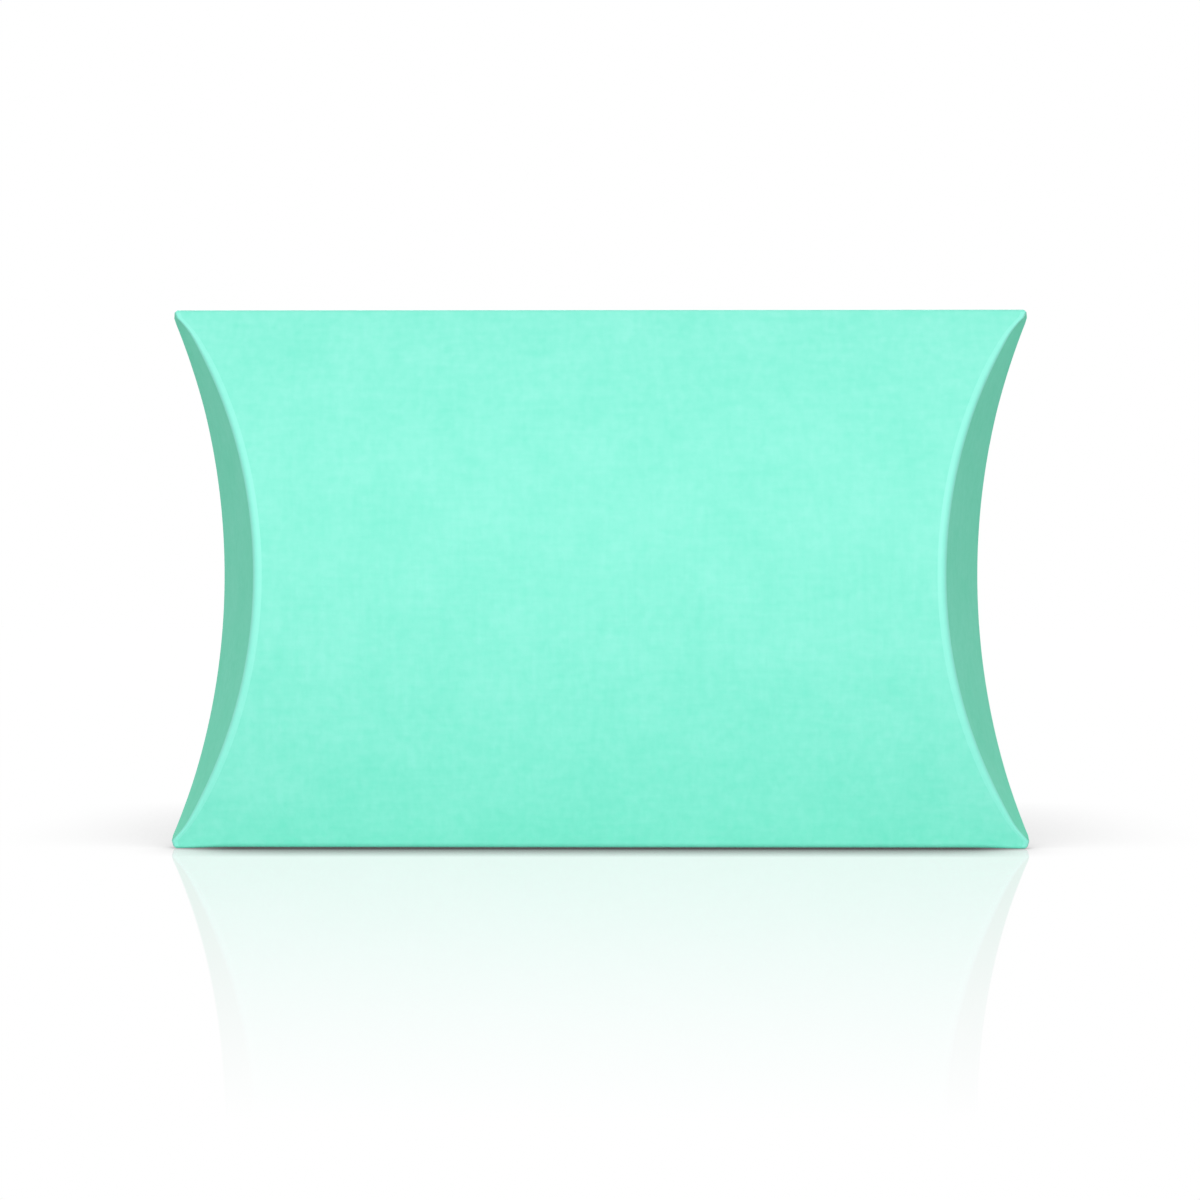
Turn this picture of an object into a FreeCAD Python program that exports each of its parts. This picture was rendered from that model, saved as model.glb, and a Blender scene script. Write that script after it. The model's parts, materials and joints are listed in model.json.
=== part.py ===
# Pillow box: a folding card carton with two bulging panels and a pair of curved flaps at each end.
# It stands on its lower long edge: +X along the length, front panel towards -Y, +Z up, and the
# origin on the floor under the middle. The card blank is split at its score lines, so that each
# panel, flap, fold and crease is a piece of its own. Sizes are in millimetres.
import FreeCAD, Part
import os
import Sketcher

doc = FreeCAD.newDocument("PillowBox")
dims = doc.addObject("Spreadsheet::Sheet", "dims")

driving_dimensions = [
    ("box_length", 160.0),        # along the long edge, ear to ear
    ("box_height", 101.0),        # from one long folded edge to the other
    ("box_depth", 22.0),          # front face to back face, at the middle of the bulge
    ("card", 0.45),               # thickness of the card
    ("fold_land", 1.0),           # flat across each long folded edge
    ("fold_rise", 1.0),           # height of the folded strip along each long edge
    ("corner_chamfer", 0.9),      # blunting of the four ears
    ("corner_blunt", 0.8),        # crease end to ear tip, along the length
    ("crease_inset", 15.4),       # how far each end crease curves in at mid height
    ("score_width", 0.9),         # width of the pressed crease strip
    ("score_card", 0.35),         # card left under the pressed crease
    ("outer_flap_depth", 20.9),   # crease to free edge at mid height
    ("outer_tip_width", 1.9),     # crease to free edge at the ears
    ("outer_ear", 2.5),           # long edge to the end of the outer flap
    ("outer_hinge_gap", 0.9),     # crease to the start of the flap, along the flap
    ("inner_flap_depth", 14.0),
    ("inner_tip_width", 1.6),
    ("inner_ear", 9.0),
    ("inner_hinge_gap", 1.3),
    ("inner_fold", 90.0),         # degrees that an inner flap is folded from its panel
    ("tab_width", 12.0),          # glue tab, measured up from the seam fold
    ("tab_inset", 16.0),          # ear tip to the end of the tab's upper edge
    ("tab_taper", 6.0),           # how much longer the tab is at the fold, each end
    ("glue_film", 0.1),           # thickness of the adhesive
    ("glue_width", 7.0),
    ("glue_rise", 2.5),           # seam fold to the lower edge of the adhesive
    ("glue_inset", 22.0),         # ear tip to the end of the adhesive
]
for row, (alias, value) in enumerate(driving_dimensions, start=1):
    cell = f"A{row}"
    dims.set(cell, str(value))
    dims.setAlias(cell, alias)
doc.recompute()

# Worked out from the driving dimensions. Each panel is an arc over the box height, whose bulge
# runs from the edge of the folded land to the middle of the panel.
half_length = "(dims.box_length / 2)"
half_height = "(dims.box_height / 2)"
half_depth = "(dims.box_depth / 2)"
bulge = "((dims.box_depth - dims.fold_land) / 2)"
top = "dims.box_height"
floor = "0"


def arc_radius(sag):
    """Radius of the arc that spans the box height with this sag."""
    return f"(({half_height}^2 + {sag}^2) / (2 * {sag}))"


panel_radius = arc_radius(bulge)
panel_axis_y = f"({panel_radius} - {half_depth})"
crease_mid_x = f"({half_length} - dims.corner_blunt - dims.crease_inset)"
crease_radius = arc_radius("dims.crease_inset")

# A crease lies nearly in an upright plane through its two ends and its middle. The card keeps its
# length over a curved crease when the flap turns by twice the angle of that plane from the panel.
crease_angle = f"atan({bulge} / dims.crease_inset)"
crease_sag = f"sqrt(dims.crease_inset^2 + {bulge}^2)"
outer_fold = f"(2 * {crease_angle})"
inner_fold = "(dims.inner_fold * 1deg)"

# Sketch planes and directions of travel. Across is the box's section, along its front view.
ACROSS = FreeCAD.Rotation(FreeCAD.Vector(1, 1, 1), 120)
ALONG = FreeCAD.Rotation(FreeCAD.Vector(1, 0, 0), 90)
FLAT = FreeCAD.Rotation()
X_WAY = FreeCAD.Vector(1, 0, 0)
Y_WAY = FreeCAD.Vector(0, 1, 0)
Z_WAY = FreeCAD.Vector(0, 0, 1)


def measure(expression):
    """Value of an expression on the sheet, in millimetres or degrees."""
    value = dims.evalExpression(expression)
    return float(getattr(value, "Value", value))


def bind(sketch, kind, places, expression):
    """Add one sized constraint to a sketch and tie it to the sheet."""
    index = sketch.addConstraint(Sketcher.Constraint(kind, *places, measure(expression)))
    sketch.setExpression(f"Constraints[{index}]", expression)


def new_sketch(name, rotation):
    sketch = doc.addObject("Sketcher::SketchObject", name)
    sketch.Placement = FreeCAD.Placement(FreeCAD.Vector(), rotation)
    return sketch


def outline(name, rotation, corners):
    """Closed straight-sided outline, each corner a pair of expressions."""
    sketch = new_sketch(name, rotation)
    points = [FreeCAD.Vector(measure(across), measure(up), 0) for across, up in corners]
    for start, end in zip(points, points[1:] + points[:1]):
        sketch.addGeometry(Part.LineSegment(start, end))
    count = len(corners)
    for side in range(count):
        sketch.addConstraint(Sketcher.Constraint("Coincident", side, 2, (side + 1) % count, 1))
    for side, (across, up) in enumerate(corners):
        bind(sketch, "DistanceX", (-1, 1, side, 1), across)
        bind(sketch, "DistanceY", (-1, 1, side, 1), up)
    return sketch


def arc_band(name, rotation, left, right, low, high):
    """Outline between two upright arcs, closed level at two heights.

    Each arc is (centre, radius, side): its centre is at mid height, and it bulges to side -1 or +1.
    """
    sketch = new_sketch(name, rotation)
    ends = (measure(low), measure(high))
    middle = measure(half_height)
    corners = []
    for centre, radius, side in (left, right):
        reach = measure(radius)

        def point(height):
            run = (reach**2 - (height - middle) ** 2) ** 0.5
            return FreeCAD.Vector(measure(centre) + side * run, height, 0)

        corners.append((point(ends[0]), point(ends[1])))
        sketch.addGeometry(Part.Arc(corners[-1][0], point(sum(ends) / 2), corners[-1][1]))
    for level in (0, 1):
        sketch.addGeometry(Part.LineSegment(corners[0][level], corners[1][level]))
    for arc, (centre, radius, side) in enumerate((left, right)):
        lower, upper = (1, 2) if side > 0 else (2, 1)
        sketch.addConstraint(Sketcher.Constraint("Coincident", arc, lower, 2, arc + 1))
        sketch.addConstraint(Sketcher.Constraint("Coincident", arc, upper, 3, arc + 1))
        bind(sketch, "DistanceX", (-1, 1, arc, 3), centre)
        bind(sketch, "DistanceY", (-1, 1, arc, 3), half_height)
        bind(sketch, "Radius", (arc,), radius)
    for line, height in ((2, low), (3, high)):
        sketch.addConstraint(Sketcher.Constraint("Horizontal", line))
        bind(sketch, "DistanceY", (-1, 1, line, 1), height)
    return sketch


def extrude(sketch, direction, forward, back):
    solid = doc.addObject("Part::Extrusion", f"{sketch.Name}_solid")
    solid.Base = sketch
    solid.DirMode = "Custom"
    solid.Dir = direction
    solid.Solid = True
    solid.setExpression("LengthFwd", forward)
    solid.setExpression("LengthRev", back)
    return solid


def shared(name, solids):
    """The card that lies inside all of these solids."""
    piece = doc.addObject("Part::MultiCommon", name)
    piece.Shapes = solids
    piece.Label = name
    return piece


def mirrored(name, source, normal, base_z="0"):
    piece = doc.addObject("Part::Mirroring", name)
    piece.Source = source
    piece.Normal = normal
    piece.setExpression("Base.z", base_z)
    piece.Label = name
    return piece


def panel_stock(name, thickness):
    """Card curved like the front panel, over the whole length of the box."""
    inner_face = (panel_axis_y, f"({panel_radius} - {thickness})", -1)
    outer_face = (panel_axis_y, panel_radius, -1)
    section = arc_band(name, ACROSS, outer_face, inner_face, "dims.fold_rise", f"{top} - dims.fold_rise")
    return extrude(section, X_WAY, half_length, half_length)


# Front and back panels: bulging sheets that end in a curve at both ends, short of the creases.
crease_centre = f"({crease_mid_x} + {crease_radius})"
panel_end = f"({crease_centre} - dims.score_width)"
front_outline = arc_band("front_outline", ALONG, (f"-{panel_end}", crease_radius, 1),
                         (panel_end, crease_radius, -1), floor, top)
front_trim = extrude(front_outline, Y_WAY, half_depth, half_depth)
front_panel = shared("front_panel", [panel_stock("front_section", "dims.card"), front_trim])
back_panel = mirrored("back_panel", front_panel, Y_WAY)

# Curved creases: the pressed strips between a panel and its flaps, thinner than the card.
crease_outline = arc_band("crease_outline", ALONG, (panel_end, crease_radius, -1),
                          (crease_centre, crease_radius, -1), floor, top)
crease_trim = extrude(crease_outline, Y_WAY, half_depth, half_depth)
right_front_crease = shared("right_front_crease",
                            [panel_stock("crease_section", "dims.score_card"), crease_trim])
left_front_crease = mirrored("left_front_crease", right_front_crease, X_WAY)
right_back_crease = mirrored("right_back_crease", right_front_crease, Y_WAY)
left_back_crease = mirrored("left_back_crease", left_front_crease, Y_WAY)


# End flaps: curved the other way to their panels, so that they are hollow from outside. Each is
# drawn along its own X, from the middle of its crease, and is then turned to its fold angle.
def end_flap(name, fold, depth, tip_width, ear, hinge_gap):
    run = f"({crease_sag} * cos({fold} - {crease_angle}))"
    sag = f"({crease_sag} * sin({fold} - {crease_angle}))"
    radius = arc_radius(sag)
    outer_face = (f"-{radius}", radius, 1)
    inner_face = (f"-{radius}", f"({radius} + dims.card)", 1)
    section = arc_band(f"{name}_section", ACROSS, outer_face, inner_face, ear, f"{top} - {ear}")
    stock = extrude(section, X_WAY, f"{run} + {depth}", "0")
    start_arc = (f"({hinge_gap} + {arc_radius(run)})", arc_radius(run), -1)
    far_arc = (f"({run} + {depth} + {arc_radius(run)})", arc_radius(run), -1)
    start = arc_band(f"{name}_start", ALONG, start_arc, far_arc, floor, top)
    start_trim = extrude(start, Y_WAY, "dims.box_depth", "dims.box_depth")
    edge_lean = f"(({run} + {tip_width} - {depth}) / {sag})"
    edge = outline(f"{name}_edge", FLAT, [
        ("0", f"-{sag}"),
        (f"{run} + {tip_width}", f"-{sag}"),
        (f"{depth} - dims.card * {edge_lean}", "dims.card"),
        ("0", "dims.card"),
    ])
    edge_trim = extrude(edge, Z_WAY, top, "0")
    flap = shared(name, [stock, start_trim, edge_trim])
    flap.Placement = FreeCAD.Placement(FreeCAD.Vector(), FreeCAD.Rotation(Z_WAY, measure(fold)))
    flap.setExpression("Placement.Base.x", crease_mid_x)
    flap.setExpression("Placement.Base.y", f"-{half_depth}")
    flap.setExpression("Placement.Rotation.Angle", fold)
    return flap


right_outer_flap = end_flap("right_outer_flap", outer_fold, "dims.outer_flap_depth",
                            "dims.outer_tip_width", "dims.outer_ear", "dims.outer_hinge_gap")
left_outer_flap = mirrored("left_outer_flap", right_outer_flap, X_WAY)
inner_pattern = end_flap("inner_pattern", inner_fold, "dims.inner_flap_depth",
                         "dims.inner_tip_width", "dims.inner_ear", "dims.inner_hinge_gap")
right_inner_flap = mirrored("right_inner_flap", inner_pattern, Y_WAY)
left_inner_flap = mirrored("left_inner_flap", right_inner_flap, X_WAY)

# Long folds: the doubled card along the two straight edges, with a flat land and blunted ears.
fold_half_width = f"(sqrt({panel_radius}^2 - ({half_height} - dims.fold_rise)^2) - {panel_axis_y})"
fold_section = outline("fold_section", ACROSS, [
    ("-dims.fold_land / 2", floor),
    ("dims.fold_land / 2", floor),
    (fold_half_width, "dims.fold_rise"),
    (f"-{fold_half_width}", "dims.fold_rise"),
])
fold_stock = extrude(fold_section, X_WAY, half_length, half_length)
ear_outline = outline("ear_outline", ALONG, [
    (f"-({half_length} - dims.corner_chamfer)", floor),
    (f"{half_length} - dims.corner_chamfer", floor),
    (half_length, "dims.fold_rise"),
    (f"-{half_length}", "dims.fold_rise"),
])
ear_trim = extrude(ear_outline, Y_WAY, half_depth, half_depth)
seam_fold = shared("seam_fold", [fold_stock, ear_trim])
top_fold = mirrored("top_fold", seam_fold, Z_WAY, half_height)


# Glue tab and its adhesive: the tab rises from the seam fold inside the back panel.
def lining(name, gap, thickness, low, high, low_half, high_half):
    """Curved strip that lies inside the back panel, this far from its inner face."""
    outer_radius = f"({panel_radius} - dims.card - {gap})"
    inner_face = (f"-{panel_axis_y}", f"({outer_radius} - {thickness})", 1)
    outer_face = (f"-{panel_axis_y}", outer_radius, 1)
    stock = extrude(arc_band(f"{name}_section", ACROSS, inner_face, outer_face, low, high),
                    X_WAY, half_length, half_length)
    side = outline(f"{name}_side", ALONG, [
        (f"-({low_half})", low),
        (low_half, low),
        (high_half, high),
        (f"-({high_half})", high),
    ])
    return shared(name, [stock, extrude(side, Y_WAY, half_depth, half_depth)])


tab_top_half = f"{half_length} - dims.tab_inset"
glue_tab = lining("glue_tab", "dims.glue_film", "dims.card", "dims.fold_rise",
                  "dims.fold_rise + dims.tab_width", f"{tab_top_half} + dims.tab_taper", tab_top_half)
glue_half = f"{half_length} - dims.glue_inset"
glue_low = "dims.fold_rise + dims.glue_rise"
glue_line = lining("glue_line", "0", "dims.glue_film", glue_low, f"{glue_low} + dims.glue_width",
                   glue_half, glue_half)

doc.recompute()

pieces = [
    front_panel, back_panel, top_fold, seam_fold, glue_tab, glue_line,
    right_front_crease, right_back_crease, left_front_crease, left_back_crease,
    right_outer_flap, right_inner_flap, left_outer_flap, left_inner_flap,
]
for item in doc.Objects:
    if "Invalid" in item.State or "Error" in item.State:
        raise RuntimeError(f"{item.Name} did not compute")
for piece in pieces:
    if piece.Shape.isNull() or not piece.Shape.isValid() or len(piece.Shape.Solids) != 1:
        raise RuntimeError(f"{piece.Label} is not one valid solid")

os.makedirs("parts", exist_ok=True)
for piece in pieces:
    piece.Shape.exportStep(f"parts/{piece.Label}.step")
    print(piece.Label, f"{piece.Shape.Volume:.2f} mm3")
print(f"crease axis at x {measure(crease_mid_x):.3f}, y {measure(half_depth):.3f} mm")
print(f"outer flap fold {measure(outer_fold):.2f} degrees")
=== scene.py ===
# Pillow box of mint card, standing closed on its lower long edge.
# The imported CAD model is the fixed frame. Every piece of card is drawn again around it as a thin
# curved sheet, in the order that the box is folded up. Sizes are in millimetres until a mesh is made.
import json
import math

import bmesh
import bpy
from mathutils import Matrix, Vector


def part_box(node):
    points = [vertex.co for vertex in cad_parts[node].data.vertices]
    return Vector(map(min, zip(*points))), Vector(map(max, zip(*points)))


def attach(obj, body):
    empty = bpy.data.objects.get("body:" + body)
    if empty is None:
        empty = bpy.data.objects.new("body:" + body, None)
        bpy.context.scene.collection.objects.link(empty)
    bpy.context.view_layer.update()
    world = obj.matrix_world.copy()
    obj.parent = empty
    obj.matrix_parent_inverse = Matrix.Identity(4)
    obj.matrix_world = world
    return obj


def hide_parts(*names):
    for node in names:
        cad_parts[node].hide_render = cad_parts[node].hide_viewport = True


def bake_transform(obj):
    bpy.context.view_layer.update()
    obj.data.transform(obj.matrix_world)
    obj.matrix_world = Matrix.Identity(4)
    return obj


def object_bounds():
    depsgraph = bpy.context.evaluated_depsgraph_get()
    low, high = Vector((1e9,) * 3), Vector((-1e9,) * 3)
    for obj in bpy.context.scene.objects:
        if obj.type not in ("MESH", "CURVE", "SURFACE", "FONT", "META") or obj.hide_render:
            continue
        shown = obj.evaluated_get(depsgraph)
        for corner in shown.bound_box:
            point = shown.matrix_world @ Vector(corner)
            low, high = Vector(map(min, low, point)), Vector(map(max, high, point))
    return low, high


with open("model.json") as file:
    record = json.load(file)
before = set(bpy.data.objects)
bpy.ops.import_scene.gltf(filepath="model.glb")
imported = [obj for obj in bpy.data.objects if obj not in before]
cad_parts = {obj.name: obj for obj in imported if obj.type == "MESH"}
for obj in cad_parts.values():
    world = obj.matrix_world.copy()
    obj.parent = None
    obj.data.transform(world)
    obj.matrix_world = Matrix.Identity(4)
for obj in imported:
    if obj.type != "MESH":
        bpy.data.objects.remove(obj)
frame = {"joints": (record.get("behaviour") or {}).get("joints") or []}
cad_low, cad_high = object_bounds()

# Viewpoint: the box is seen from the front, by a level camera a little below mid height that stands
# a few millimetres to the right of the middle. A long lens keeps the long edges nearly parallel.
MM = 0.001
camera_distance = 700.0
camera_height = 46.6
camera_aside = 8.0
frame_width = 225.1
sensor_width = 36.0
nearest_seen = 10.0

view_lens = bpy.data.cameras.new("front_view")
view_lens.sensor_width = sensor_width
view_lens.sensor_fit = "HORIZONTAL"
view_lens.lens = sensor_width * camera_distance / frame_width
view_lens.clip_start = nearest_seen * MM
view_camera = bpy.data.objects.new("front_view", view_lens)
bpy.context.scene.collection.objects.link(view_camera)
view_camera.location = (camera_aside * MM, -camera_distance * MM, camera_height * MM)
view_camera.rotation_euler = (math.radians(90), 0, math.atan2(camera_aside, camera_distance))
bpy.context.scene.camera = view_camera

# Front and back panels: the two bulging sheets of dyed card, 0.45 mm thick, bent over the height of
# the box only. Each ends at the curved creases left and right, and at the straight folds above and
# below. The back panel stops at a raw cut edge, just above the lower fold, where the sleeve is glued.
card = 0.45
box_height = cad_high.z / MM
middle = box_height / 2
half_depth = -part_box("front_panel")[0].y / MM
fold_half_land = 0.5
bulge = half_depth - fold_half_land
panel_radius = (middle**2 + bulge**2) / (2 * bulge)
panel_axis = panel_radius - half_depth
fold_radius = (panel_radius**2 - panel_axis**2 - middle**2) / (2 * (panel_radius - middle))
fold_centre = middle - fold_radius
panel_reach = math.asin(fold_centre / (panel_radius - fold_radius))
raw_edge_height = 1.0
panel_rows = 96
panel_columns = 80

# The curved crease where a panel ends, and the ears where the crease meets the long folds.
crease_mid = 63.75
crease_raised = 0.7
crease_middle = middle + crease_raised
crease_radius = 87.0
crease_centre = crease_mid + crease_radius
ear_flare = 1.5
ear_flare_run = 5.5
upper_tip = 80.1
lower_tip = 80.35
tip_round = 1.2
tip_rim = 0.2

# The bend along the crease, which takes its share of the panel, and how far each flap is folded.
bend_radius = 1.4
ear_bend_radius = 0.7
bend_taper = 12.0
pressed_margin = 0.4
front_fold = math.radians(68.6)
back_fold = math.radians(90)
flap_rest = 0.3
outer_edge_mid = 71.5
outer_edge_radius = 138.5

# The standing box touches the table with its ears and with the back of its lower fold.
ear_start = 69.0
ear_run = 10.0
edge_lift = 0.58
lift_depth = 0.8


def smooth_step(low, high, value):
    """How far a value has come from low to high, easing in and out."""
    share = min(1.0, max(0.0, (value - low) / (high - low)))
    return share * share * (3 - 2 * share)


def settled(point):
    """The card as it stands, tipped a little back: between the ears the lower fold's front lifts."""
    x, y, z = point
    between_ears = 1 - smooth_step(ear_start, ear_start + ear_run, abs(x))
    at_front = 1 - smooth_step(-lift_depth, lift_depth, y)
    return (x, y, z + edge_lift * between_ears * at_front * max(0.0, 1 - z / middle) ** 2)


def steps(low, high, count):
    """Even steps from low to high, both ends included."""
    return [low + (high - low) * i / count for i in range(count + 1)]


def arc_point(angle, sunk=0.0):
    """Depth and height on the front panel's arc, this far under its outer face."""
    radius = panel_radius - sunk
    return panel_axis - radius * math.cos(angle), middle + radius * math.sin(angle)


def tip_at(z):
    """How far out the rounded tip of an ear reaches at this height."""
    tip = upper_tip if z > middle else lower_tip
    rounded = max(0.0, tip_round - middle + abs(z - middle))
    return tip - rounded**2 / (2 * tip_round)


def crease_at(z):
    """How far out the curved crease is at this height, and its slope: it flares into the ears."""
    rise = z - crease_middle
    run = math.sqrt(crease_radius**2 - rise**2)
    flare = max(0.0, 1 - (middle - abs(z - middle)) / ear_flare_run)
    x = crease_centre - run + ear_flare * flare**2
    slope = rise / run + math.copysign(2 * ear_flare * flare / ear_flare_run, rise)
    return min(x, tip_at(z) - tip_rim), slope


def outer_edge_at(z):
    """How far out the free edge of an outer flap is at this height, past the crease."""
    run = math.sqrt(outer_edge_radius**2 - (z - crease_middle) ** 2)
    return min(outer_edge_mid + outer_edge_radius - run, tip_at(z))


def front_turn(z):
    """How far an outer flap is folded: near the ears it comes to rest on the edge of the back panel."""
    depth = 2 * (math.sqrt(panel_radius**2 - (z - middle) ** 2) - panel_axis) + flap_rest
    return min(front_fold, math.atan2(depth, outer_edge_at(z) - crease_at(z)[0]))


def back_turn(z):
    """How far an inner flap is folded: the same at every height."""
    return back_fold


def bend_at(z):
    """Outer radius of the bend at this height: it tightens towards the ears."""
    tight = smooth_step(middle - bend_taper, middle, abs(z - middle))
    return bend_radius + (ear_bend_radius - bend_radius) * tight


def bend_reach(fold, z):
    """How far the bend reaches from the crease into the card on either side."""
    return bend_at(z) * math.tan(fold / 2)


def mirrored(grid, side_x, side_y):
    """The same sheet at the other end of the box, or on its other panel."""
    return [[(x * side_x, y * side_y, z) for x, y, z in row] for row in grid]


def card_piece(name, outer, inner, finishes, cut_sides=()):
    """Closed sheet of card between two grids of points.

    Its materials are the outer face, the inner face and the edge. cut_sides names the raw edges:
    the first or last row, and the first or last column.
    """
    build = bmesh.new()
    over = [[build.verts.new(Vector(settled(point)) * MM) for point in row] for row in outer]
    below = [[build.verts.new(Vector(settled(point)) * MM) for point in row] for row in inner]
    last_row = len(outer) - 1
    last_column = len(outer[0]) - 1
    for layer, grid in enumerate((over, below)):
        for r in range(last_row):
            for c in range(last_column):
                corners = (grid[r][c], grid[r][c + 1], grid[r + 1][c + 1], grid[r + 1][c])
                build.faces.new(corners).material_index = layer
    borders = {
        "first_row": [(0, c) for c in range(last_column + 1)],
        "last_row": [(last_row, c) for c in range(last_column + 1)],
        "first_column": [(r, 0) for r in range(last_row + 1)],
        "last_column": [(r, last_column) for r in range(last_row + 1)],
    }
    for side, line in borders.items():
        for (r0, c0), (r1, c1) in zip(line, line[1:]):
            rim = build.faces.new((over[r0][c0], over[r1][c1], below[r1][c1], below[r0][c0]))
            rim.material_index = 2 if side in cut_sides else 0
            for grid in (over, below):
                build.edges.get((grid[r0][c0], grid[r1][c1])).smooth = False
    for r in (0, last_row):
        for c in (0, last_column):
            build.edges.get((over[r][c], below[r][c])).smooth = False
    for face in build.faces:
        face.smooth = True
    bmesh.ops.recalc_face_normals(build, faces=build.faces)
    mesh = bpy.data.meshes.new(name)
    build.to_mesh(mesh)
    build.free()
    for finish in finishes:
        mesh.materials.append(finish)
    piece = bpy.data.objects.new(name, mesh)
    bpy.context.scene.collection.objects.link(piece)
    return piece


def feed(tree, socket, value):
    """Set a socket to a plain value, or join it to the output that gives the value."""
    if isinstance(value, bpy.types.NodeSocket):
        tree.links.new(value, socket)
    else:
        socket.default_value = value


def worked_tone(tree, kind, *tones):
    """Tone made from one or two others by a step of arithmetic."""
    step = tree.nodes.new("ShaderNodeMath")
    step.operation = kind
    for socket, tone in zip(step.inputs, tones):
        feed(tree, socket, tone)
    return step.outputs[0]


def graded_tone(tree, tone, start=0.0, stop=1.0, first=0.0, last=1.0, eased=False):
    """Tone that goes from first to last while another goes from start to stop."""
    grade = tree.nodes.new("ShaderNodeMapRange")
    grade.interpolation_type = "SMOOTHSTEP" if eased else "LINEAR"
    ends = {"Value": tone, "From Min": start, "From Max": stop, "To Min": first, "To Max": last}
    for name, value in ends.items():
        feed(tree, grade.inputs[name], value)
    return grade.outputs["Result"]


# The grain of the dyed card, from broad clouds to fine fibres, and the share each has in its colour.
cloud_scale = 90.0
cloud_detail = 3.0
cloud_share = 0.32
fleck_scale = 620.0
fleck_detail = 4.0
fleck_share = 0.32
fibre_scale = 900.0
fibre_detail = 2.0
fibre_share = 0.18
fibre_stretch = 0.16
level_fibre_lean = math.radians(12)
upright_fibre_lean = math.radians(-9)
deepest_tone = 0.36
middle_tone = 0.5
palest_tone = 0.64
roughness_spread = 0.08
card_sheen = 0.25
tooth_strength = 0.35


def dyed_card(name, deep, mid, pale, roughness, fibre_depth):
    """Matt card dyed in the pulp: cloudy colour, short fibres lying every way, and a fine tooth."""
    finish = bpy.data.materials.new(name)
    finish.use_nodes = True
    tree = finish.node_tree
    shader = tree.nodes["Principled BSDF"]
    place = tree.nodes.new("ShaderNodeTexCoord")

    def pulp(scale, detail, stretch=(1, 1, 1), lean=0.0):
        """Uneven pulp, drawn out into fibres by the stretch."""
        lay = tree.nodes.new("ShaderNodeMapping")
        lay.inputs["Scale"].default_value = stretch
        lay.inputs["Rotation"].default_value = (0, lean, 0)
        tree.links.new(place.outputs["Object"], lay.inputs["Vector"])
        noise = tree.nodes.new("ShaderNodeTexNoise")
        noise.inputs["Scale"].default_value = scale
        noise.inputs["Detail"].default_value = detail
        tree.links.new(lay.outputs["Vector"], noise.inputs["Vector"])
        return noise.outputs["Fac"]

    clouds = pulp(cloud_scale, cloud_detail)
    flecks = pulp(fleck_scale, fleck_detail)
    level_fibres = pulp(fibre_scale, fibre_detail, (fibre_stretch, 1, 1), level_fibre_lean)
    upright_fibres = pulp(fibre_scale, fibre_detail, (1, 1, fibre_stretch), upright_fibre_lean)
    fibres = worked_tone(tree, "ADD", level_fibres, upright_fibres)
    tone = worked_tone(tree, "MULTIPLY", clouds, cloud_share)
    for grain, share in ((flecks, fleck_share), (fibres, fibre_share)):
        tone = worked_tone(tree, "ADD", tone, worked_tone(tree, "MULTIPLY", grain, share))
    ramp = tree.nodes.new("ShaderNodeValToRGB")
    ramp.color_ramp.elements[0].position = deepest_tone
    ramp.color_ramp.elements[0].color = (*deep, 1)
    ramp.color_ramp.elements[1].position = palest_tone
    ramp.color_ramp.elements[1].color = (*pale, 1)
    ramp.color_ramp.elements.new(middle_tone).color = (*mid, 1)
    tree.links.new(tone, ramp.inputs["Fac"])
    tree.links.new(ramp.outputs["Color"], shader.inputs["Base Color"])
    smoothest = roughness - roughness_spread
    roughest = roughness + roughness_spread
    tree.links.new(graded_tone(tree, flecks, first=smoothest, last=roughest), shader.inputs["Roughness"])
    shader.inputs["Specular IOR Level"].default_value = card_sheen
    tooth = tree.nodes.new("ShaderNodeBump")
    tooth.inputs["Strength"].default_value = tooth_strength
    tooth.inputs["Distance"].default_value = fibre_depth * MM
    tree.links.new(worked_tone(tree, "ADD", fibres, flecks), tooth.inputs["Height"])
    tree.links.new(tooth.outputs["Normal"], shader.inputs["Normal"])
    return finish


mint_face = dyed_card("mint_face", deep=(0.205, 0.815, 0.63), mid=(0.24, 0.838, 0.664),
                      pale=(0.277, 0.86, 0.70), roughness=0.58, fibre_depth=0.05)
mint_inside = dyed_card("mint_inside", deep=(0.21, 0.79, 0.60), mid=(0.24, 0.82, 0.64),
                        pale=(0.275, 0.85, 0.68), roughness=0.78, fibre_depth=0.09)
mint_cut = dyed_card("mint_cut", deep=(0.26, 0.78, 0.62), mid=(0.33, 0.84, 0.69),
                     pale=(0.41, 0.88, 0.75), roughness=0.9, fibre_depth=0.12)
card_finishes = (mint_face, mint_inside, mint_cut)


def panel_sheet(turn_at, lowest):
    """Outer and inner grid of a panel, whose ends stop where the pressed crease begins."""
    outer = []
    inner = []
    for angle in steps(lowest, panel_reach, panel_rows):
        z = arc_point(angle)[1]
        end = crease_at(z)[0] - bend_reach(turn_at(z), z) - pressed_margin
        across = steps(-end, end, panel_columns)
        outer.append([(x, *arc_point(angle)) for x in across])
        inner.append([(x, *arc_point(angle, card)) for x in across])
    return outer, inner


front_outer, front_inner = panel_sheet(front_turn, -panel_reach)
front_sheet = card_piece("front_sheet", front_outer, front_inner, card_finishes)
raw_edge_angle = -math.asin((middle - raw_edge_height) / panel_radius)
back_outer, back_inner = panel_sheet(back_turn, raw_edge_angle)
back_sheet = card_piece("back_sheet", mirrored(back_outer, 1, -1), mirrored(back_inner, 1, -1),
                        card_finishes, ("first_row",))
for sheet, node in ((front_sheet, "front_panel"), (back_sheet, "back_panel")):
    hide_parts(node)
    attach(sheet, "sleeve")

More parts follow.
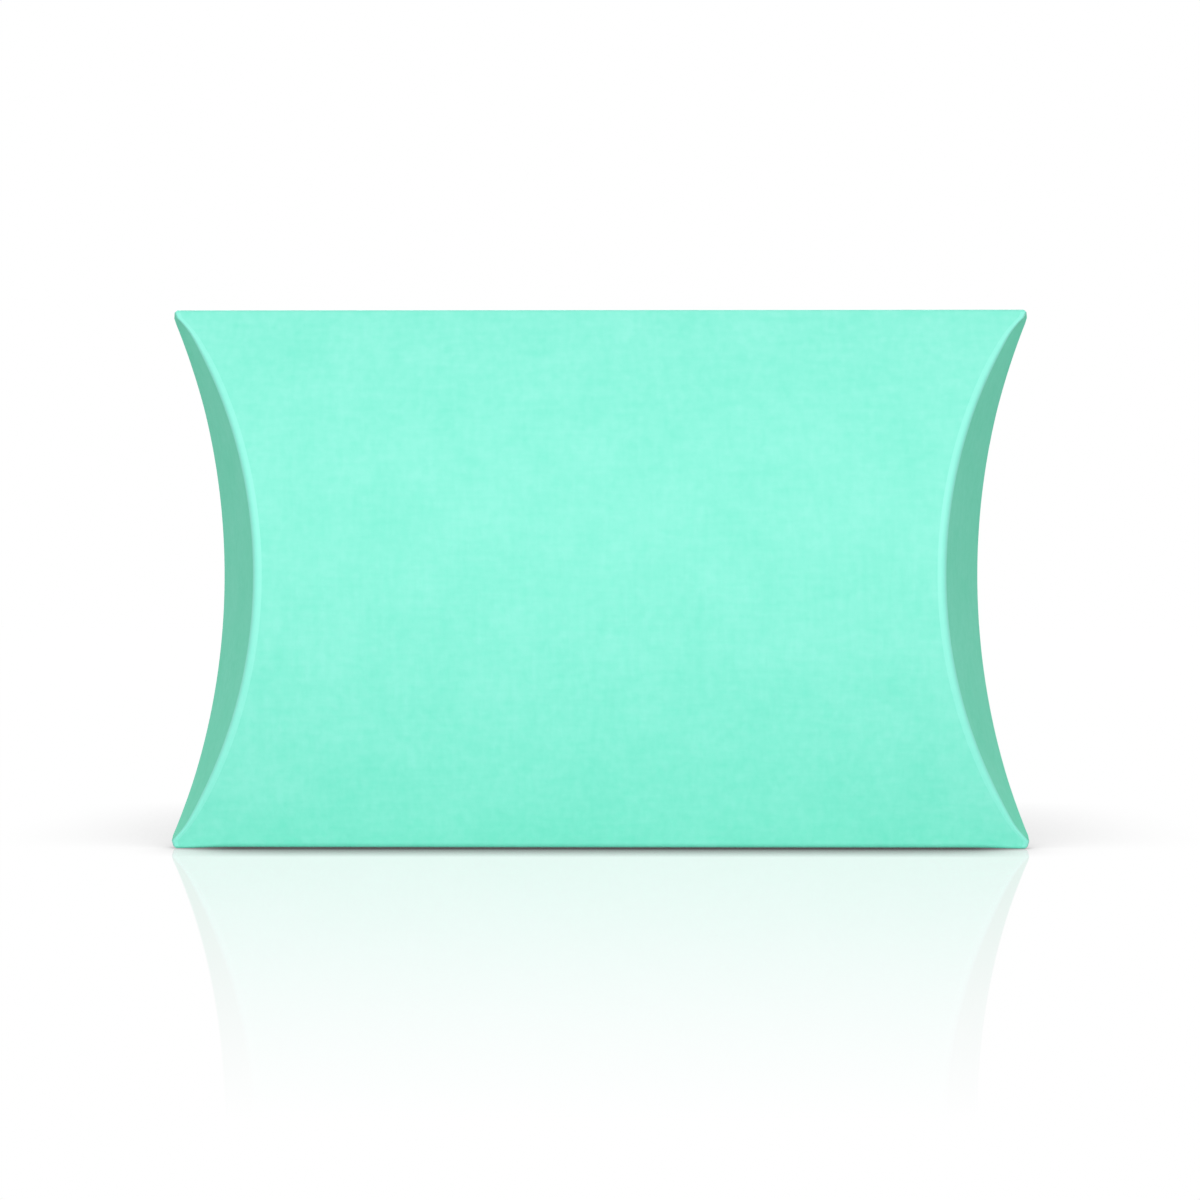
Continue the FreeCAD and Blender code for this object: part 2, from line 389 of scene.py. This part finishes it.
# Long folds: the two straight edges where the sheet is scored and bent right round. The upper one
# joins the panels. The lower one ends the front panel and runs up under the back panel's raw edge.
top_fold_end = 79.35
seam_fold_end = 79.6
fold_end_spread = 0.35
fold_rows = 18
fold_columns = 120
fold_reach = math.radians(90) - panel_reach
fold_cuts = ("first_column", "last_column")
strip_rows = 4
strip_sunk = 0.04
strip_top = 0.95


def fold_line(sunk):
    """Depth, height and share of the bend, from the front panel over the upper edge to the back."""
    line = []
    for angle in steps(-fold_reach, fold_reach, fold_rows):
        radius = fold_radius - sunk
        y = radius * math.sin(angle)
        z = middle + fold_centre + radius * math.cos(angle)
        line.append((y, z, angle / fold_reach))
    return line


def fold_sheet(line, edge_end):
    """Grid of a fold, a little longer on the panels' sides than on its crown."""
    grid = []
    for y, z, share in line:
        end = edge_end + fold_end_spread * min(1.0, abs(share)) ** 2
        grid.append([(x, y, z) for x in steps(-end, end, fold_columns)])
    return grid


def turned_down(grid):
    """The same fold at the lower edge of the box."""
    return [[(x, y, box_height - z) for x, y, z in row] for row in grid]


top_outer, top_inner = (fold_sheet(fold_line(sunk), top_fold_end) for sunk in (0, card))
top_bend = card_piece("top_bend", top_outer, top_inner, card_finishes, fold_cuts)
seam_lines = []
for sunk in (0, card):
    strip = []
    for height in steps(box_height - strip_top, middle + fold_centre, strip_rows)[:-1]:
        angle = math.asin((height - middle) / (panel_radius - sunk - strip_sunk))
        strip.append((-arc_point(angle, sunk + strip_sunk)[0], height, 1.0))
    seam_lines.append(fold_line(sunk) + strip[::-1])
seam_outer, seam_inner = (turned_down(fold_sheet(line, seam_fold_end)) for line in seam_lines)
seam_bend = card_piece("seam_bend", seam_outer, seam_inner, card_finishes, fold_cuts)
for bend, node in ((top_bend, "top_fold"), (seam_bend, "seam_fold")):
    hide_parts(node)
    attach(bend, "sleeve")

# Glue tab: the strip of card past the lower fold that closes the sleeve. It is tapered at both ends
# and lies against the inside of the back panel, with only the film of adhesive between them.
tab_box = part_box("glue_tab")
tab_low = tab_box[0].z / MM
tab_high = tab_box[1].z / MM
tab_half_low = tab_box[1].x / MM
tab_taper = 6.0
tab_rows = 16
tab_columns = 90
film = 0.1


def lining(low, high, half_low, half_high, sunk):
    """Strip on the inside of the back panel, this far under the panel's outer face."""
    grid = []
    for share in steps(0, 1, tab_rows):
        z = low + (high - low) * share
        half = half_low + (half_high - half_low) * share
        angle = math.asin((z - middle) / (panel_radius - sunk))
        y, z = arc_point(angle, sunk)
        grid.append([(x, -y, z) for x in steps(-half, half, tab_columns)])
    return grid


tab_sizes = (tab_low, tab_high, tab_half_low, tab_half_low - tab_taper)
tab_strip = card_piece("tab_strip", lining(*tab_sizes, card + film), lining(*tab_sizes, 2 * card + film),
                       card_finishes, ("last_row", "first_column", "last_column"))
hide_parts("glue_tab")
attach(tab_strip, "sleeve")

# Adhesive: a film of clear glue, pressed flat between the tab and the back panel and dried there.
# It holds the sleeve closed, and it doesn't show from outside.
glue_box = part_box("glue_line")
glue_half = glue_box[1].x / MM
glue_sizes = (glue_box[0].z / MM, glue_box[1].z / MM, glue_half, glue_half)
glue_deep = (0.84, 0.83, 0.74)
glue_pale = (0.95, 0.94, 0.89)
glue_grain = 260.0
glue_roughness = 0.35

dried_glue = bpy.data.materials.new("dried_glue")
dried_glue.use_nodes = True
glue_tree = dried_glue.node_tree
glue_shader = glue_tree.nodes["Principled BSDF"]
glue_noise = glue_tree.nodes.new("ShaderNodeTexNoise")
glue_noise.inputs["Scale"].default_value = glue_grain
glue_ramp = glue_tree.nodes.new("ShaderNodeValToRGB")
glue_ramp.color_ramp.elements[0].color = (*glue_deep, 1)
glue_ramp.color_ramp.elements[1].color = (*glue_pale, 1)
glue_tree.links.new(glue_noise.outputs["Fac"], glue_ramp.inputs["Fac"])
glue_tree.links.new(glue_ramp.outputs["Color"], glue_shader.inputs["Base Color"])
glue_shader.inputs["Roughness"].default_value = glue_roughness
glue_film = card_piece("glue_film", lining(*glue_sizes, card), lining(*glue_sizes, card + film),
                       (dried_glue, dried_glue, dried_glue))
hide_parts("glue_line")
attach(glue_film, "sleeve")

# Curved creases: the pressed score lines at the ends of both panels. The card is squeezed thinner
# there, so the bend is smooth and round, and its face is painted paler than the sheet beside it,
# partly for the pressed card and partly as a painted highlight along the bend.
score_card = 0.35
bead = 0.08
margin_columns = 4
bend_columns = 12
# The crease face is painted paler: partly the pressed card, partly a painted highlight on the bend.
pressed_mint_and_highlight = dyed_card("pressed_mint_and_highlight", deep=(0.272, 0.872, 0.712), mid=(0.288, 0.884, 0.727),
                         pale=(0.305, 0.896, 0.742), roughness=0.5, fibre_depth=0.03)
crease_finishes = (pressed_mint_and_highlight, mint_inside, mint_cut)


def card_normal(turn, angle, slope):
    """Outward direction of card that has turned this far from the front panel."""
    lean = math.cos(turn) * math.tan(angle) - math.sin(turn) * slope
    return Vector((math.sin(turn), -math.cos(turn), lean)).normalized()


def under_face(point, normal, depth):
    """Point this deep in the card under a point of its face."""
    return tuple(Vector(point) - normal * depth)


def crease_sheet(turn_at):
    """Outer and inner grid of a crease: a flat pressed margin, and the bend with its low bead."""
    margin = [(0.0, left) for left in steps(pressed_margin, 0, margin_columns)[:-1]]
    across = margin + [(share, 0.0) for share in steps(0, 1, bend_columns)]
    outer = []
    inner = []
    for angle in steps(-panel_reach, panel_reach, panel_rows):
        y, z = arc_point(angle)
        x, slope = crease_at(z)
        fold = turn_at(z)
        start = x - bend_reach(fold, z)
        radius = bend_at(z)
        outer_row = []
        inner_row = []
        for i, (share, left) in enumerate(across):
            turn = fold * share
            swell = math.sin(math.pi * i / (len(across) - 1)) ** 2
            normal = card_normal(turn, angle, slope)
            base = (start - left + radius * math.sin(turn), y + radius - radius * math.cos(turn), z)
            outer_row.append(under_face(base, normal, -bead * swell))
            inner_row.append(under_face(base, normal, card + (score_card - card) * swell))
        outer.append(outer_row)
        inner.append(inner_row)
    return outer, inner


for depth_name, side_y, turn_at in (("front", 1, front_turn), ("back", -1, back_turn)):
    outer, inner = crease_sheet(turn_at)
    for end_name, side_x in (("right", 1), ("left", -1)):
        crease = card_piece(f"{end_name}_{depth_name}_bend", mirrored(outer, side_x, side_y),
                            mirrored(inner, side_x, side_y), crease_finishes)
        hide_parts(f"{end_name}_{depth_name}_crease")
        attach(crease, "sleeve")

# End flaps: the outer flaps hang on the front panel and lean out as they close over the inner ones,
# which hang on the back panel. Both are plain die cuts of the card. Their faces carry painted shade,
# a deeper mint than the panels. The card bends along each crease, so a flap stays joined to its panel.
least_tip = 0.1
inner_depth = 14.0
inner_tip = 1.0
inner_short = 4.0
inner_reach = middle - inner_short
inner_corner = 5.0
flap_columns = 28
flap_cuts = ("first_row", "last_row", "last_column")
# The flap face is the panels' mint painted deeper: painted shade on the ends that turn from the light.
mint_flap_painted_shade = dyed_card("mint_flap_painted_shade", deep=(0.15, 0.757, 0.512), mid=(0.178, 0.78, 0.545),
                      pale=(0.208, 0.803, 0.578), roughness=0.58, fibre_depth=0.05)
flap_finishes = (mint_flap_painted_shade, mint_inside, mint_cut)


def outer_flap_length(z):
    """From the crease to the free edge of an outer flap, along the flap."""
    fold = front_turn(z)
    shown = outer_edge_at(z) - crease_at(z)[0]
    return max(shown / math.cos(fold), bend_reach(fold, z) + least_tip)


def inner_flap_length(z):
    """The same for an inner flap, whose corners are rounded off."""
    rise = abs(z - middle)
    length = inner_depth + (inner_tip - inner_depth) * (rise / middle) ** 2
    past = max(0.0, rise - (inner_reach - inner_corner)) / inner_corner
    start = bend_reach(back_fold, z)
    return start + least_tip + (length - start) * math.sqrt(max(0.0, 1 - past**2))


def flap_sheet(turn_at, reach, length_at):
    """Outer and inner grid of a flap, from the end of its bend to its free edge."""
    outer = []
    inner = []
    for angle in steps(-reach, reach, panel_rows):
        y, z = arc_point(angle)
        x, slope = crease_at(z)
        fold = turn_at(z)
        normal = card_normal(fold, angle, slope)
        row = []
        for length in steps(bend_reach(fold, z), length_at(z), flap_columns):
            row.append((x + length * math.cos(fold), y + length * math.sin(fold), z))
        outer.append(row)
        inner.append([under_face(point, normal, card) for point in row])
    return outer, inner


crease_plane = front_fold / 2
hinge_x = frame["joints"][0]["pos_m"][0] / MM
outer_depth = (outer_edge_mid - hinge_x) / math.cos(front_fold)
outer_turn_depth = outer_depth * math.sin(front_fold - crease_plane)
inner_turn_depth = inner_depth * math.sin(back_fold - crease_plane)
inner_flap_reach = math.asin(inner_reach / panel_radius)
flap_kinds = (
    ("outer", 1, front_turn, panel_reach, outer_flap_length, outer_turn_depth),
    ("inner", -1, back_turn, inner_flap_reach, inner_flap_length, inner_turn_depth),
)
for kind, side_y, turn_at, reach, length_at, turn_depth in flap_kinds:
    outer, inner = flap_sheet(turn_at, reach, length_at)
    for end_name, side_x in (("right", 1), ("left", -1)):
        flap = card_piece(f"{end_name}_{kind}_sheet", mirrored(outer, side_x, side_y),
                          mirrored(inner, side_x, side_y), flap_finishes, flap_cuts)
        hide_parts(f"{end_name}_{kind}_flap")
        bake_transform(flap)

# Table: a level white table top with a glossy coat, which the box stands on. Looked at, it is plain
# white, shaded close to the box and behind it, with a faint mirror image in front that fades out. The
# light that it throws back up on the box is that of a matt white board.
table_half = 6000.0
table_bounce = 0.84
contact_distance = 22.0
crevice_distance = 4.5
contact_samples = 8
contact_strength = 1.45
contact_fade = (68.0, 88.0)
cast_distance = 160.0
cast_samples = 16
cast_deepest = 0.3
cast_level = 0.2
cast_fade = (82.0, 125.0)
mirror_strength = 0.25
mirror_contact = 0.8
mirror_roughness = 0.03
mirror_fade = (-20.0, -365.0)
mirror_fade_curve = 1.6

table_mesh = bpy.data.meshes.new("table")
table_corners = ((-1, -1), (1, -1), (1, 1), (-1, 1))
table_mesh.from_pydata([(x * table_half * MM, y * table_half * MM, 0) for x, y in table_corners],
                       [], [(0, 1, 2, 3)])
table = bpy.data.objects.new("table", table_mesh)
bpy.context.scene.collection.objects.link(table)

table_white = bpy.data.materials.new("table_white")
table_white.use_nodes = True
table_tree = table_white.node_tree
table_tree.nodes.clear()


def openness(distance, samples):
    """Node for how much of the room a spot of the table sees past what stands this near."""
    look = table_tree.nodes.new("ShaderNodeAmbientOcclusion")
    look.samples = samples
    look.inputs["Distance"].default_value = distance * MM
    return look


def faded(distance, fade, eased=False):
    """Tone that goes from nought to one along the table, between the two places of a fade."""
    return graded_tone(table_tree, distance, fade[0] * MM, fade[1] * MM, eased=eased)


def looked_at(tree):
    """One where the camera looks, straight on, in a mirror or through glass, and nought for light."""
    ray = tree.nodes.new("ShaderNodeLightPath").outputs
    straight_or_mirrored = worked_tone(tree, "MAXIMUM", ray["Is Camera Ray"], ray["Is Glossy Ray"])
    return worked_tone(tree, "MAXIMUM", straight_or_mirrored, ray["Is Transmission Ray"])


def coated(share, below, above):
    """Finish of the table with this share of another over it."""
    coat = table_tree.nodes.new("ShaderNodeMixShader")
    for socket, value in zip(coat.inputs, (share, below, above)):
        table_tree.links.new(value, socket)
    return coat.outputs["Shader"]


table_place = table_tree.nodes.new("ShaderNodeTexCoord")
table_spot = table_tree.nodes.new("ShaderNodeSeparateXYZ")
table_tree.links.new(table_place.outputs["Object"], table_spot.inputs["Vector"])
aside = worked_tone(table_tree, "ABSOLUTE", table_spot.outputs["X"])

contact = openness(contact_distance, contact_samples)
crevice = openness(crevice_distance, contact_samples)
touching = worked_tone(table_tree, "MULTIPLY", contact.outputs["AO"], crevice.outputs["AO"])
contact_shade = worked_tone(table_tree, "POWER", touching, contact_strength)
past_ears = faded(aside, contact_fade, eased=True)
under_box = graded_tone(table_tree, past_ears, first=contact_shade)

cast = openness(cast_distance, cast_samples)
towards_front = table_tree.nodes.new("ShaderNodeCombineXYZ")
towards_front.inputs["Y"].default_value = -1.0
table_tree.links.new(towards_front.outputs["Vector"], cast.inputs["Normal"])
cast_shade = graded_tone(table_tree, cast.outputs["AO"], start=cast_deepest, first=cast_level)
past_cast = faded(aside, cast_fade, eased=True)
behind_box = graded_tone(table_tree, past_cast, first=cast_shade)

plain_white = table_tree.nodes.new("ShaderNodeEmission")
table_shade = worked_tone(table_tree, "MULTIPLY", under_box, behind_box)
table_tree.links.new(table_shade, plain_white.inputs["Strength"])
mirror = table_tree.nodes.new("ShaderNodeBsdfGlossy")
mirror.inputs["Roughness"].default_value = mirror_roughness
mirror_shade = worked_tone(table_tree, "POWER", touching, mirror_contact)
table_tree.links.new(mirror_shade, mirror.inputs["Color"])
mirror_far = faded(table_spot.outputs["Y"], mirror_fade)
mirror_lost = worked_tone(table_tree, "POWER", mirror_far, mirror_fade_curve)
mirror_share = graded_tone(table_tree, mirror_lost, first=mirror_strength, last=0.0)
seen_table = coated(mirror_share, plain_white.outputs["Emission"], mirror.outputs["BSDF"])

lit_white = table_tree.nodes.new("ShaderNodeBsdfDiffuse")
lit_white.inputs["Color"].default_value = (table_bounce, table_bounce, table_bounce, 1)
table_out = table_tree.nodes.new("ShaderNodeOutputMaterial")
table_finish = coated(looked_at(table_tree), lit_white.outputs["BSDF"], seen_table)
table_tree.links.new(table_finish, table_out.inputs["Surface"])
table_mesh.materials.append(table_white)

# Room and lamps: a plain white room all round, and two broad soft lamps, one low in front of the box
# and one high behind it. The lamps light the box only, and the table is left to the white room.
room_white = 1.0
room_light_level = 0.55

room = bpy.data.worlds.new("white_room")
bpy.context.scene.world = room
room.use_nodes = True
room_tree = room.node_tree
room_light = room_tree.nodes["Background"]
room_light.inputs["Color"].default_value = (1, 1, 1, 1)
room_level = graded_tone(room_tree, looked_at(room_tree), first=room_light_level, last=room_white)
room_tree.links.new(room_level, room_light.inputs["Strength"])

not_the_table = bpy.data.collections.new("not_the_table")
not_the_table.objects.link(table)
not_the_table.collection_objects[0].light_linking.link_state = "EXCLUDE"


def soft_box(name, place, size, power):
    """A broad soft lamp that faces the middle of the box, and leaves out the table."""
    light = bpy.data.lights.new(name, "AREA")
    light.shape = "RECTANGLE"
    light.size = size[0] * MM
    light.size_y = size[1] * MM
    light.energy = power
    lamp = bpy.data.objects.new(name, light)
    bpy.context.scene.collection.objects.link(lamp)
    lamp.location = Vector(place) * MM
    aim = Vector((0, 0, middle * MM)) - lamp.location
    lamp.rotation_euler = aim.to_track_quat("-Z", "Y").to_euler()
    lamp.light_linking.receiver_collection = not_the_table


soft_box("front_light", place=(0, -950, 230), size=(460, 400), power=5.7)
soft_box("back_light", place=(0, 800, 800), size=(600, 400), power=4.0)
bpy.context.scene.view_settings.view_transform = "Standard"
